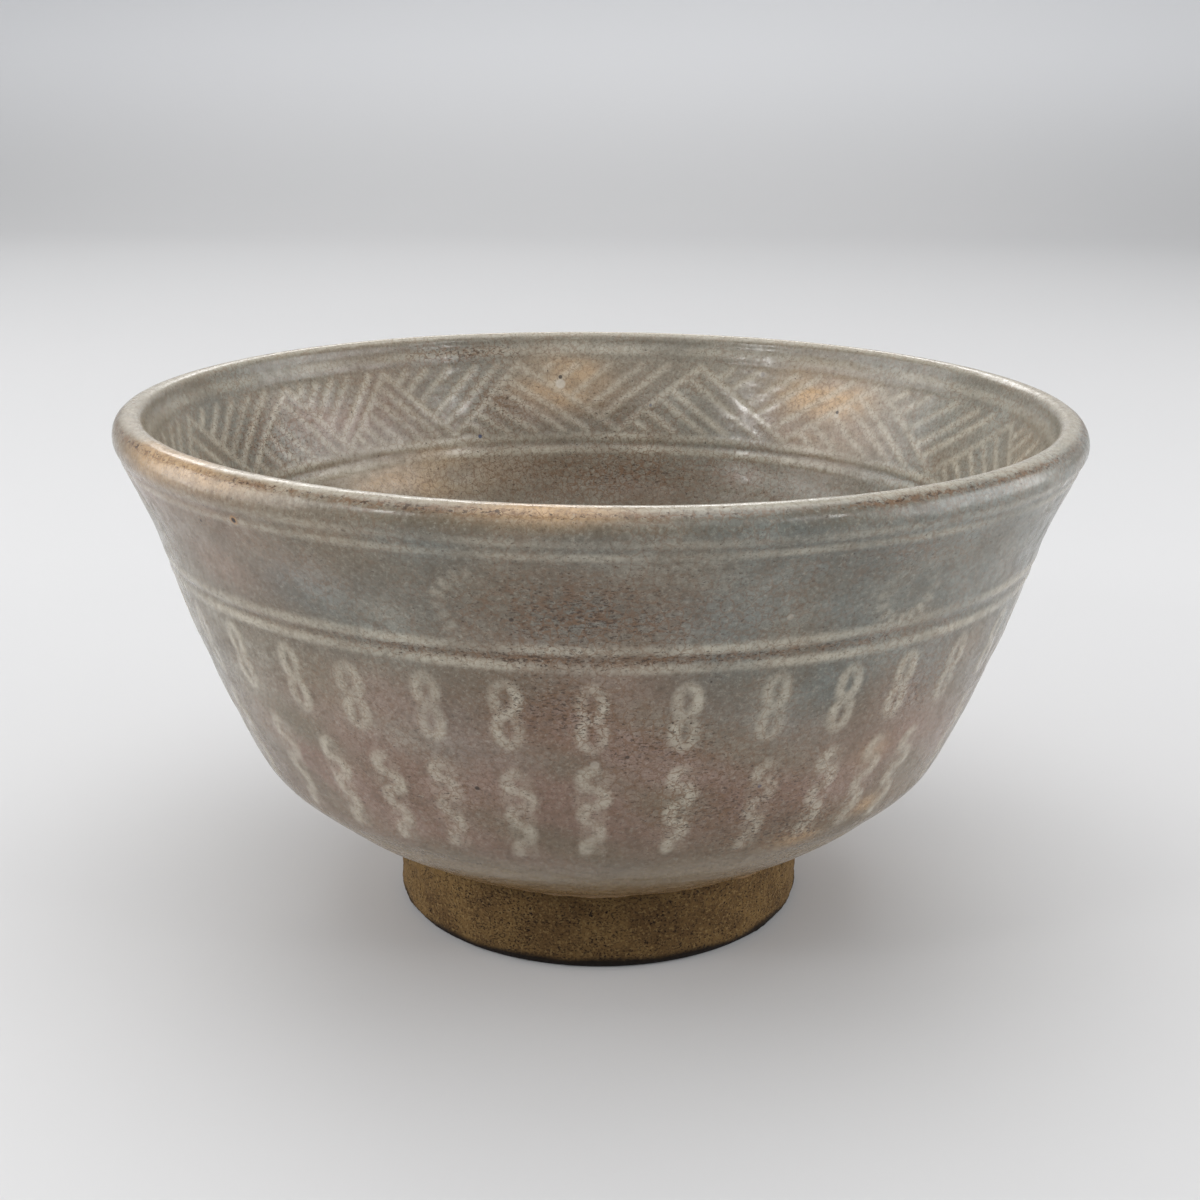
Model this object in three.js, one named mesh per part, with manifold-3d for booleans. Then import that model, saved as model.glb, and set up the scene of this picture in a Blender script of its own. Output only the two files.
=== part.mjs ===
// Thrown tea bowl on a turned foot ring, with white slip inlaid in turned lines, a hatched band
// and rope-stamp columns. Millimetres, +Z up, origin at the middle of the foot's resting face.

import * as THREE from "three";
import { mergeVertices } from "three/addons/utils/BufferGeometryUtils.js";
import Module from "manifold-3d";

// Bowl outline
const RIM_DIAMETER = 130;
const BOWL_HEIGHT = 72;
const BELLY_DIAMETER = 95.5; // at the turned corner between the lower cone and the wall
const BELLY_HEIGHT = 23.6;
const BELLY_ROUND = 3.2; // length of wall that the rounded corner takes on each side
const CONE_SAG = 0.9; // how far the lower cone dips below a straight line
const WALL_BULGE = 0.8; // how far the wall bows out between corner and neck
const NECK_DIAMETER = 120.4; // where the mouth begins to flare
const NECK_DROP = 14; // below the rim

// Lip
const LIP_CREST_INSET = 2.8; // from the rim's outermost point to the top of the lip
const LIP_OUTER_ROUND = 3.2; // height of the lip's outer rounding
const LIP_INNER_INSET = 1.3; // from the top of the lip to the inner wall
const LIP_INNER_ROUND = 1.6; // height of the lip's inner rounding

// Inside
const WALL_THICKNESS = 4.5; // measured level, between neck and corner
const FLOOR_THICKNESS = 6.5;
const FLOOR_FLAT_DIAMETER = 20;
const POOL_TOP_ABOVE_BELLY = 4.6; // where the inner curve of the floor meets the wall
const POOL_CONTROL_DIAMETER = 70; // how full that curve is
const POOL_CONTROL_RISE = 1.5;

// Foot ring
const FOOT_DIAMETER = 57.5;
const FOOT_HEIGHT = 10.9;
const FOOT_RING_WIDTH = 7.6;
const FOOT_HOLLOW_DEPTH = 6.5;
const FOOT_BEVEL = 0.8;
const FOOT_SEAT_CLEARANCE = 0.1; // round the boss of the floor that the ring sits on

// Bead of thick glaze along the lower edge of the glaze coat
const GLAZE_BEAD_WIDTH = 2.2;
const GLAZE_BEAD_HEIGHT = 0.55;
const GLAZE_BEAD_INSET = 0.15; // from the edge of the foot

// Turned lines filled with slip: depth below the rim of each line's middle
const LINE_WIDTH = 0.9;
const LINE_DEPTH = 0.7;
const OUTER_LINE_DROPS = {
  rim_line_upper: 3.9,
  rim_line_lower: 5.4,
  belt_line_upper: 17.1,
  belt_line_lower: 19.5,
};
const INNER_LINE_DROPS = {
  mouth_line_inner: 3,
  belt_line_inner_upper: 16.8,
  belt_line_inner_lower: 19,
};

// Recesses that hold the slip
const INLAY_DEPTH = 1;
const INLAY_GAP = 0.05; // between a slip piece and the sides of its recess
const INLAY_FLOOR_GAP = 0.15; // between a slip piece and the floor of its recess
const CUT_OVERSHOOT = 1.5; // how far a cutting tool stands out of the wall

// Rope-stamp columns: two rows of twisted links joined by one strand
const ROPE_COLUMNS = 36;
const ROPE_TOP_MARGIN = 1.8; // below the lower belt line
const ROPE_BOTTOM_MARGIN = 2.4; // above the turned corner
const LINK_HALF_WIDTH = 1.8;
const TWIST_HALF_WIDTH = 1.05;
const TWIST_SWAY = 0.75;
const STRAND_HALF_WIDTH = 0.45;

// Hatched band inside the mouth, cut by hand in uneven steps: chevrons whose limbs carry strokes that
// lean the other way. Each chevron has its peak and the foot that follows it, in degrees from the
// back, to the right as seen from the front.
const HATCH_PEAK_ANGLES = [
  -81.5, -55.8, -36.8, -13.8, 16.5, 48.2, 80.8, 105.5, 130, 155, 179.5, 204, 229, 254,
];
const HATCH_FOOT_ANGLES = [
  -69.8, -46.2, -26, 3, 32.8, 64.5, 93, 118, 142.5, 167, 192, 216.5, 241.5, 266,
];
const HATCH_STROKES = 2; // strokes on each limb
const STROKE_WIDTH = 0.8;
const CHEVRON_GAP = 0.4; // between the feet of two chevrons
const HATCH_TOP_MARGIN = 2.3; // below the inner mouth line
const HATCH_BOTTOM_MARGIN = 0.9; // above the upper inner belt line

// Facets round the bowl
const SEGMENTS = 36;

const wasm = await Module();
wasm.setup();

// Named heights and radii that follow from the sizes above
const rimRadius = RIM_DIAMETER / 2;
const footRadius = FOOT_DIAMETER / 2;
const footInnerRadius = footRadius - FOOT_RING_WIDTH;
const crestRadius = rimRadius - LIP_CREST_INSET;
const neckHeight = BOWL_HEIGHT - NECK_DROP;
const point = (radius, height) => new THREE.Vector2(radius, height);

// Middle control point of a curve from a to b that leaves the straight line by sag, to its right.
function bowedControl(a, b, sag) {
  const along = b.clone().sub(a).normalize();
  const side = point(along.y, -along.x);
  return a.clone().add(b).multiplyScalar(0.5).addScaledVector(side, 2 * sag);
}

function bowed(a, b, sag) {
  return new THREE.QuadraticBezierCurve(a, bowedControl(a, b, sag), b);
}

// Points of several curves in a row, without repeating the points that they share.
function chain(...pieces) {
  return pieces.flatMap(([curve, divisions], index) => curve.getPoints(divisions).slice(index ? 1 : 0));
}

// Outer outline from the foot's edge up to the crest of the lip.
function outerOutline() {
  const footEdge = point(footRadius, FOOT_HEIGHT);
  const corner = point(BELLY_DIAMETER / 2, BELLY_HEIGHT);
  const neck = point(NECK_DIAMETER / 2, neckHeight);
  const lipEdge = point(rimRadius, BOWL_HEIGHT - LIP_OUTER_ROUND);
  const coneDirection = footEdge.clone().sub(corner).normalize();
  const wallDirection = neck.clone().sub(corner).normalize();
  const coneEnd = corner.clone().addScaledVector(coneDirection, BELLY_ROUND);
  const wallStart = corner.clone().addScaledVector(wallDirection, BELLY_ROUND);
  const lip = new THREE.EllipseCurve(
    crestRadius, lipEdge.y, LIP_CREST_INSET, LIP_OUTER_ROUND, 0, Math.PI / 2);
  return chain(
    [bowed(footEdge, coneEnd, CONE_SAG), 3],
    [new THREE.QuadraticBezierCurve(coneEnd, corner, wallStart), 2],
    [bowed(wallStart, neck, WALL_BULGE), 2],
    [new THREE.LineCurve(neck, lipEdge), 1],
    [lip, 3],
  );
}

// Radius of an outline at a height. The outline's heights run one way.
function radiusAt(outline, height) {
  const index = outline.findIndex((p, i) => i > 0 && (p.y - height) * (outline[i - 1].y - height) <= 0);
  const [a, b] = [outline[index - 1], outline[index]];
  return a.x + ((b.x - a.x) * (height - a.y)) / (b.y - a.y);
}

// Inner outline from the crest of the lip down to the middle of the floor.
function innerOutline(outer) {
  const floorHeight = FOOT_HOLLOW_DEPTH + FLOOR_THICKNESS;
  const poolTop = BELLY_HEIGHT + POOL_TOP_ABOVE_BELLY;
  const lipStart = BOWL_HEIGHT - LIP_INNER_ROUND;
  const lip = new THREE.EllipseCurve(
    crestRadius, lipStart, LIP_INNER_INSET, LIP_INNER_ROUND, Math.PI / 2, Math.PI);
  const wallHeights = [neckHeight, (neckHeight + poolTop) / 2, poolTop];
  const wall = wallHeights.map((height) => point(radiusAt(outer, height) - WALL_THICKNESS, height));
  const pool = new THREE.QuadraticBezierCurve(
    wall.at(-1),
    point(POOL_CONTROL_DIAMETER / 2, floorHeight + POOL_CONTROL_RISE),
    point(FLOOR_FLAT_DIAMETER / 2, floorHeight));
  return [...lip.getPoints(2), ...wall.slice(0, -1), ...pool.getPoints(3), point(0, floorHeight)];
}

// Corners of a V groove, or of the slip that fills it, in the wall at a height. Side is -1 for a
// line cut in from outside and 1 for one cut out from inside.
function lineSection(outline, height, side, gap) {
  const half = LINE_WIDTH / 2 - gap;
  const depth = LINE_DEPTH - gap;
  return [half, 0, -half].map((offset) => {
    const surface = radiusAt(outline, height + offset);
    return point(surface + (offset === 0 ? side * depth : 0), height + offset);
  });
}

// Outline with a V groove at each height, in place of its own points there.
function withGrooves(outline, heights, side) {
  const rising = outline[0].y < outline.at(-1).y ? 1 : -1;
  const cuts = heights.map((height) => lineSection(outline, height, side, 0));
  const clear = outline.filter((p) => heights.every((height) => Math.abs(p.y - height) > LINE_WIDTH / 2));
  return [...clear, ...cuts.flat()].sort((a, b) => rising * (a.y - b.y));
}

// Closed mesh with shared corners and no empty triangles.
function welded(geometry) {
  geometry.deleteAttribute("normal");
  geometry.deleteAttribute("uv");
  const merged = mergeVertices(geometry);
  const corners = merged.index.array;
  const kept = [];
  for (let i = 0; i < corners.length; i += 3) {
    const [a, b, c] = corners.subarray(i, i + 3);
    if (a !== b && b !== c && c !== a) kept.push(a, b, c);
  }
  merged.setIndex(kept);
  return merged;
}

// Section turned round the bowl's axis. Its facets touch the true round in their middles.
function turned(section) {
  const halfFacet = Math.PI / SEGMENTS;
  const widened = section.map((corner) => point(corner.x / Math.cos(halfFacet), corner.y));
  const geometry = new THREE.LatheGeometry(widened, SEGMENTS, -halfFacet);
  geometry.rotateX(Math.PI / 2);
  return welded(geometry);
}

function toSolid(geometry) {
  const vertProperties = new Float32Array(geometry.attributes.position.array);
  const triVerts = new Uint32Array(geometry.index.array);
  return new wasm.Manifold(new wasm.Mesh({ numProp: 3, vertProperties, triVerts }));
}

function toGeometry(solid) {
  const { vertProperties, triVerts } = solid.getMesh();
  const geometry = new THREE.BufferGeometry();
  geometry.setAttribute("position", new THREE.BufferAttribute(new Float32Array(vertProperties), 3));
  geometry.setIndex(new THREE.BufferAttribute(new Uint32Array(triVerts), 1));
  return geometry;
}

// Point of the wall that a point of the flat pattern lies on: x runs round the bowl and y is
// the height.
function onWall(outline, corner, angle) {
  const radius = radiusAt(outline, corner.y);
  const turn = angle + corner.x / radius;
  return new THREE.Vector3(radius * Math.sin(turn), -radius * Math.cos(turn), corner.y);
}

// Prism that stands on the wall, square to it at the angle, from low to high along the outward
// radius there. Its base is the flat outline laid on the wall and split into the given faces.
function prismOn(outline, corners, faces, angle, low, high) {
  const outward = new THREE.Vector3(Math.sin(angle), -Math.cos(angle), 0);
  const base = corners.map((corner) => onWall(outline, corner, angle));
  const ends = [low, high].map((reach) => base.map((p) => p.clone().addScaledVector(outward, reach)));
  const count = corners.length;
  const caps = faces.flatMap(([a, b, c]) => [count + a, count + b, count + c, c, b, a]);
  const sides = corners.flatMap((_, i) => {
    const next = (i + 1) % count;
    return [i, next, count + next, i, count + next, count + i];
  });
  const geometry = new THREE.BufferGeometry().setFromPoints(ends.flat());
  return geometry.setIndex([...caps, ...sides]);
}

// Outline of one rope-stamp column. Each station down it has its share of the length, the sway
// of its middle and its half width: two round links, a plain strand and three twisted links.
function ropeCorners(top, bottom, gap) {
  const stations = [
    [0, 0, STRAND_HALF_WIDTH],
    [0.09, 0, LINK_HALF_WIDTH],
    [0.18, 0, STRAND_HALF_WIDTH],
    [0.27, 0, LINK_HALF_WIDTH],
    [0.4, 0, STRAND_HALF_WIDTH],
    [0.58, TWIST_SWAY, TWIST_HALF_WIDTH],
    [0.74, -TWIST_SWAY, TWIST_HALF_WIDTH],
    [0.9, TWIST_SWAY, TWIST_HALF_WIDTH],
    [1, 0, STRAND_HALF_WIDTH],
  ];
  const from = top - gap;
  const length = top - bottom - 2 * gap;
  const left = stations.map(([share, sway, half]) => point(sway - half + gap, from - share * length));
  const right = stations.map(([share, sway, half]) => point(sway + half - gap, from - share * length));
  return [...left, ...right.reverse()];
}

// A line in the flat pattern, and the point where two of them cross.
const line = (from, direction, shift) => {
  const side = point(-direction.y, direction.x).normalize();
  return { from: from.clone().addScaledVector(side, shift), direction };
};
const level = (height) => ({ from: point(0, height), direction: point(1, 0) });

function crossing(a, b) {
  const span = b.from.clone().sub(a.from);
  const share = span.cross(b.direction) / a.direction.cross(b.direction);
  return a.from.clone().addScaledVector(a.direction, share);
}

// Outline of one chevron of the hatched band, seen from inside the bowl with its peak at x = 0. It
// runs up a rising limb, over the peak and down a falling limb. The rising limb carries strokes
// that fall to the foot of the band, and the falling limb carries strokes that rise to its top,
// parallel to the next chevron's limb. Spans are the widths of this chevron's two limbs, of the
// falling limb before it and of the rising limb after it.
function chevronCorners(spans, bottom, top, gap) {
  const half = STROKE_WIDTH / 2 - gap;
  const tall = top - bottom;
  const peak = point(0, top);
  const rise = point(spans.left, tall);
  const fall = point(spans.right, -tall);
  const nextRise = point(spans.after, tall);
  const ceiling = level(top - gap);
  const floor = level(bottom + gap);
  const halfFoot = (span) => (STROKE_WIDTH * Math.hypot(span, tall)) / tall / 2;
  const footWidth = halfFoot(spans.before) + halfFoot(spans.left) + CHEVRON_GAP;
  const start = level(bottom + gap + (footWidth * tall) / (spans.before + spans.left));
  const rising = [line(peak, rise, half), line(peak, rise, -half)];
  const falling = [line(peak, fall, half), line(peak, fall, -half)];
  const stroke = (side, root, direction, end) => {
    const [first, second] = [line(root, direction, half), line(root, direction, -half)];
    return [crossing(side, first), crossing(first, end), crossing(second, end), crossing(side, second)];
  };
  const shares = Array.from({ length: HATCH_STROKES }, (_, i) => (i + 1) / (HATCH_STROKES + 1));
  const down = (limb, share) => peak.clone().addScaledVector(limb, share);
  return [
    crossing(rising[0], start),
    crossing(rising[0], ceiling),
    crossing(falling[0], ceiling),
    ...shares.flatMap((share) => stroke(falling[0], down(fall, share), nextRise, ceiling)),
    crossing(falling[0], floor),
    crossing(falling[1], floor),
    crossing(falling[1], rising[1]),
    ...shares.flatMap((share) => stroke(rising[1], down(rise, -share), fall, floor)),
    crossing(rising[1], start),
  ];
}

const outer = outerOutline();
const inner = innerOutline(outer);
const outerLines = Object.entries(OUTER_LINE_DROPS).map(([name, drop]) => [name, BOWL_HEIGHT - drop]);
const innerLines = Object.entries(INNER_LINE_DROPS).map(([name, drop]) => [name, BOWL_HEIGHT - drop]);

// Clay body, with a boss under the floor for the foot ring
const bossRadius = footInnerRadius - FOOT_SEAT_CLEARANCE;
const bodySection = [
  point(0, FOOT_HOLLOW_DEPTH),
  point(bossRadius, FOOT_HOLLOW_DEPTH),
  point(bossRadius, FOOT_HEIGHT),
  ...withGrooves(outer, outerLines.map(([, height]) => height), -1),
  ...withGrooves(inner, innerLines.map(([, height]) => height), 1).slice(1),
];
const clay = toSolid(turned(bodySection));

const footSection = [
  point(footInnerRadius + FOOT_BEVEL, 0),
  point(footRadius - FOOT_BEVEL, 0),
  point(footRadius, FOOT_BEVEL),
  point(footRadius, FOOT_HEIGHT),
  point(footInnerRadius, FOOT_HEIGHT),
  point(footInnerRadius, FOOT_BEVEL),
  point(footInnerRadius + FOOT_BEVEL, 0),
];

// Bead on the first stretch of the cone, next to the foot.
function beadSection() {
  const along = outer[1].clone().sub(outer[0]).normalize();
  const out = point(along.y, -along.x);
  const start = outer[0].clone().addScaledVector(along, GLAZE_BEAD_INSET).addScaledVector(out, INLAY_GAP);
  const steps = 4;
  const arc = Array.from({ length: steps + 1 }, (_, i) => start.clone()
    .addScaledVector(along, (GLAZE_BEAD_WIDTH * i) / steps)
    .addScaledVector(out, GLAZE_BEAD_HEIGHT * Math.sin((Math.PI * i) / steps)));
  return [...arc, arc[0]];
}

const glazeFinish = { color: 0x9d9a90, roughness: 0.35, metalness: 0 };
const edgeFinish = { color: 0x8a7350, roughness: 0.4, metalness: 0 };
const slipFinish = { color: 0xc9c6ba, roughness: 0.45, metalness: 0 };
const clayFinish = { color: 0x8c7352, roughness: 0.9, metalness: 0 };

const bowl = new THREE.Group();

function addMesh(name, geometry, finish) {
  const mesh = new THREE.Mesh(geometry, new THREE.MeshStandardMaterial({ ...finish, flatShading: true }));
  mesh.name = name;
  bowl.add(mesh);
}

const numbered = (name, index) => `${name}_${String(index + 1).padStart(2, "0")}`;
let body = clay;

// Stamped recess in the body, and the slip that fills it flush with the wall. Side is -1 for a
// recess cut in from outside and 1 for one cut out from inside.
function inlay(name, outline, cornersWithGap, angle, side) {
  const between = (depth, over) => [side * depth, -side * over].sort((a, b) => a - b);
  const [wide, narrow] = [cornersWithGap(0), cornersWithGap(INLAY_GAP)];
  const faces = THREE.ShapeUtils.triangulateShape(wide, []);
  const recess = prismOn(outline, wide, faces, angle, ...between(INLAY_DEPTH, CUT_OVERSHOOT));
  const slip = prismOn(outline, narrow, faces, angle, ...between(INLAY_DEPTH - INLAY_FLOOR_GAP, 0));
  body = body.subtract(toSolid(recess));
  addMesh(name, slip, slipFinish);
}

const ropeTop = outerLines.at(-1)[1] - ROPE_TOP_MARGIN;
const ropeBottom = BELLY_HEIGHT + ROPE_BOTTOM_MARGIN;
for (let i = 0; i < ROPE_COLUMNS; i += 1) {
  const corners = (gap) => ropeCorners(ropeTop, ropeBottom, gap);
  inlay(numbered("rope_stamp_inlay", i), outer, corners, (2 * Math.PI * i) / ROPE_COLUMNS, -1);
}

// Chevrons of the hatched band. Their corners keep their directions at every height of the wall, and
// turn against the angle, because the band is drawn as seen from inside.
const hatchTop = innerLines[0][1] - HATCH_TOP_MARGIN;
const hatchBottom = innerLines[1][1] + HATCH_BOTTOM_MARGIN;
const hatchRadius = radiusAt(inner, (hatchTop + hatchBottom) / 2);
const hatchCount = HATCH_PEAK_ANGLES.length;
const { degToRad, euclideanModulo } = THREE.MathUtils;
const spanOf = (from, to) => degToRad(euclideanModulo(to - from, 360)) * hatchRadius;
const spread = ({ x, y }) => point((-x * radiusAt(inner, y)) / hatchRadius, y);
for (let i = 0; i < hatchCount; i += 1) {
  const [last, next] = [(i + hatchCount - 1) % hatchCount, (i + 1) % hatchCount];
  const spans = {
    before: spanOf(HATCH_PEAK_ANGLES[last], HATCH_FOOT_ANGLES[last]),
    left: spanOf(HATCH_FOOT_ANGLES[last], HATCH_PEAK_ANGLES[i]),
    right: spanOf(HATCH_PEAK_ANGLES[i], HATCH_FOOT_ANGLES[i]),
    after: spanOf(HATCH_FOOT_ANGLES[i], HATCH_PEAK_ANGLES[next]),
  };
  const corners = (gap) => chevronCorners(spans, hatchBottom, hatchTop, gap).map(spread);
  const angle = Math.PI - degToRad(HATCH_PEAK_ANGLES[i]);
  inlay(numbered("hatch_inlay", i), inner, corners, angle, 1);
}

addMesh("bowl_body", toGeometry(body), glazeFinish);
addMesh("foot_ring", turned(footSection), clayFinish);
addMesh("glaze_edge_bead", turned(beadSection()), edgeFinish);
for (const [name, height] of outerLines) {
  const corners = lineSection(outer, height, -1, INLAY_GAP);
  addMesh(`${name}_inlay`, turned([...corners, corners[0]]), slipFinish);
}
for (const [name, height] of innerLines) {
  const corners = lineSection(inner, height, 1, INLAY_GAP).reverse();
  addMesh(`${name}_inlay`, turned([...corners, corners[0]]), slipFinish);
}

export default bowl;
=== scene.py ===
"""Looks of a thrown tea bowl with white slip inlaid under a grey glaze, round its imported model."""

import math

import bpy
import numpy as np
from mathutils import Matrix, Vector


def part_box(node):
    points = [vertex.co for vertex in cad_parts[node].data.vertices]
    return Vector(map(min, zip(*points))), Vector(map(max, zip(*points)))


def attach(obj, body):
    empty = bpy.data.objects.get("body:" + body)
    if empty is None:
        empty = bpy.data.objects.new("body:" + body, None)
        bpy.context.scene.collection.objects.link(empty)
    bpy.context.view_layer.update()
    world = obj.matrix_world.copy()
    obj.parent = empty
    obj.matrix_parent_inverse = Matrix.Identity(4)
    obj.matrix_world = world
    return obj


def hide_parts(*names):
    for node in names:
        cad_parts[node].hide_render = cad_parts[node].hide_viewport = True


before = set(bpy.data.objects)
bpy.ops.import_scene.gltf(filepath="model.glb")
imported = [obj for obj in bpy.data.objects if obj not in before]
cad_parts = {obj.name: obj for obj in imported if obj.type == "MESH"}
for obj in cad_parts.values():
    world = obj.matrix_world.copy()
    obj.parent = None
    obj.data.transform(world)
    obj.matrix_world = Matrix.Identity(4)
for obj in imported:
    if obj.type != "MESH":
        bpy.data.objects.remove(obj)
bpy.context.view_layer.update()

MM = 0.001

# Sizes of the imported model, in millimetres
body_high = np.array(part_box("bowl_body")[1]) / MM
foot_high = np.array(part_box("foot_ring")[1]) / MM
RIM_RADIUS = body_high[0]
BOWL_HEIGHT = body_high[2]
FOOT_RADIUS = foot_high[0]
FOOT_HEIGHT = foot_high[2]

# Outline of the bowl, in millimetres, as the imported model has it
BELLY_RADIUS = 47.75
BELLY_HEIGHT = 23.6
BELLY_ROUND = 3.2
CONE_SAG = 0.9
WALL_BULGE = 0.8
NECK_RADIUS = 60.2
NECK_DROP = 14
LIP_CREST_INSET = 2.8
LIP_OUTER_ROUND = 3.2
LIP_INNER_INSET = 1.3
LIP_SHOULDER = 0.85  # under 1, the outer edge of the lip is squarer than an oval
LIP_INNER_ROUND = 1.6
WALL_THICKNESS = 4.5
FLOOR_THICKNESS = 6.5
FLOOR_FLAT_RADIUS = 10
POOL_TOP_ABOVE_BELLY = 4.6
POOL_CONTROL_RADIUS = 35
POOL_CONTROL_RISE = 1.5
FOOT_RING_WIDTH = 7.6
FOOT_HOLLOW_DEPTH = 6.5
FOOT_BEVEL = 0.8

# How kinks of the outline are rounded over, and over what reach, in millimetres
KINK_ROUNDING = 1.2
LIP_ROUNDING = 0.35
NECK_ROUNDING = 3
LIP_REACH = 6
NECK_REACH = 6
FOOT_REACH = 4

# Fineness of the meshes
PATH_STEP = 0.05
ROUND_STEPS = 1080
ROW_STEP = 0.38
FINE_ROW_STEP = 0.2
LIP_ROW_STEP = 0.16
POOL_ROW_STEP = 0.6
CLAY_STEP = 0.3
FOOT_STEPS = 900
UNDERSIDE_STEPS = 360
HIDDEN_DEPTH = 2  # how far inside the clay a zone's hidden side lies
HIDDEN_STEP = 6
TUCK_LENGTH = 0.4
TUCK_DEPTH = 0.04
AXIS_HOLE = 0.05  # what a ring leaves open round the bowl's axis
MAP_STRIPS = 4
MAP_MARGIN = 0.01

# Heights where the zones of the glazed surface meet, in millimetres
LOWER_WALL_TOP = 19.5
ROPE_BAND_TOP = 51.6
UPPER_BAND_TOP = 63
INNER_LIP_END = 67.2
HATCH_BAND_END = 52.2

# Decoration: heights in millimetres, directions in degrees from the front, positive to the right
# Turned lines: height, strength, half width
OUTER_LINES = ((68.1, 0.5, 0.55), (66.6, 0.6, 0.5), (54.9, 0.9, 0.72), (52.5, 0.95, 0.68))
INNER_LINES = ((69.0, 0.5, 0.8), (55.2, 0.95, 0.7), (53.0, 0.95, 0.7))
# Hollows between two turned lines: height, outside, depth
HOLLOWS = ((53.7, True, 0.12), (67.3, True, 0.06), (67.7, False, 0.05), (54.1, False, 0.05))
HOLLOW_HALF_WIDTH = 0.6
OUTER_MARK_RELIEF = 0.07
INNER_MARK_RELIEF = 0.045
WAVE_RELIEF = 0.05
SKIN_RELIEF = 0.009
RELIEF_RADII = (1, 12)  # between them the relief fades towards the middle of the floor

MARK_MARGIN = 2
ROPE_COLUMNS = 36
ROPE_REACH = 4
STRAND_POINTS = 40
# Rope stamps: top, bottom, half turns, phase, sway, slack, half width of a strand
UPPER_ROPE = (51.0, 41.6, 2, 0, 1.25, 0, 0.64)
LOWER_ROPE = (38.8, 25.8, 4.6, 3.1, 1.4, 0.45, 0.82)
# Degrees by which a stamp stands off its column, counted from the front to the right
UPPER_SHIFTS = {
    -5: 0.5, -4: 1, -3: 0, -2: 0.2, -1: -0.5, 0: -0.8, 1: -0.2, 2: 0.2, 3: -0.2, 4: -1.5, 5: -1.5,
}
LOWER_SHIFTS = {
    -5: 3.2, -4: 3, -3: 1.8, -2: 0.2, -1: -0.2, 0: -0.8, 1: 0.2, 2: 1.2, 3: 0.5, 4: -1.8, 5: -4.8,
}

# Stamped flowers: direction, height
FLOWERS = (
    (-13, 59.9), (34.8, 59.3), (87, 59.5), (139, 60), (-170, 59.3), (-118, 59.6), (-65, 59.6),
)
FLOWER_REACH = 7
FLOWER_PETALS = 16
PETAL_ENDS = (3.4, 4.2)
PETAL_HALF_WIDTH = 0.5
PETAL_SOFTNESS = 0.42

HATCH_TOP = 66.7
HATCH_BOTTOM = 56.1
HATCH_RADIUS = 57.5
HATCH_TEETH = 5
HATCH_HALF_WIDTH = 0.52
HATCH_SOFTNESS = 0.45
# Peaks and feet of the hatched band, in degrees from the back, positive to the front's right
HATCH_PEAKS = (
    -81.5, -55.8, -36.8, -13.8, 16.5, 48.2, 80.8, 105.5, 130, 155, 179.5, 204, 229, 254,
)
HATCH_FEET = (
    -69.8, -46.2, -26, 3, 32.8, 64.5, 93, 118, 142.5, 167, 192, 216.5, 241.5, 266,
)


def bend(start, control, end):
    """Points of a quadratic curve."""
    share = np.linspace(0, 1, 81)[:, None]
    start, control, end = (np.array(p, float) for p in (start, control, end))
    return (1 - share) ** 2 * start + 2 * share * (1 - share) * control + share**2 * end


def bowed(start, end, sag):
    """Points of a curve that leaves the straight line from start to end by sag, to its right."""
    start, end = np.array(start, float), np.array(end, float)
    along = (end - start) / np.linalg.norm(end - start)
    control = (start + end) / 2 + 2 * sag * np.array([along[1], -along[0]])
    return bend(start, control, end)


def quarter(centre, wide, tall, first, last, power):
    """A quarter of an oval. A power under 1 makes its shoulder squarer."""
    turn = np.radians(np.linspace(first, last, 60))
    across, up = (np.sign(v) * np.abs(v) ** power for v in (np.cos(turn), np.sin(turn)))
    return np.c_[centre[0] + wide * across, centre[1] + tall * up]


def walked(points, step):
    """The path through points, in even steps: (distance along it, points)."""
    length = np.r_[0, np.cumsum(np.linalg.norm(np.diff(points, axis=0), axis=1))]
    keep = np.r_[True, np.diff(length) > 1e-9]
    even = np.arange(0, length[-1], step)
    return even, np.c_[[np.interp(even, length[keep], points[keep, k]) for k in (0, 1)]].T


def softened(points, reach, weight):
    """The path with its kinks rounded over about reach, where weight is 1."""
    half = int(4 * reach / PATH_STEP)
    kernel = np.exp(-0.5 * (np.arange(-half, half + 1) * PATH_STEP / reach) ** 2)
    kernel /= kernel.sum()
    smooth = np.empty_like(points)
    for k in (0, 1):
        padded = np.pad(points[:, k], half, mode="reflect", reflect_type="odd")
        smooth[:, k] = np.convolve(padded, kernel, mode="valid")
    return points + weight[:, None] * (smooth - points)


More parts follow.
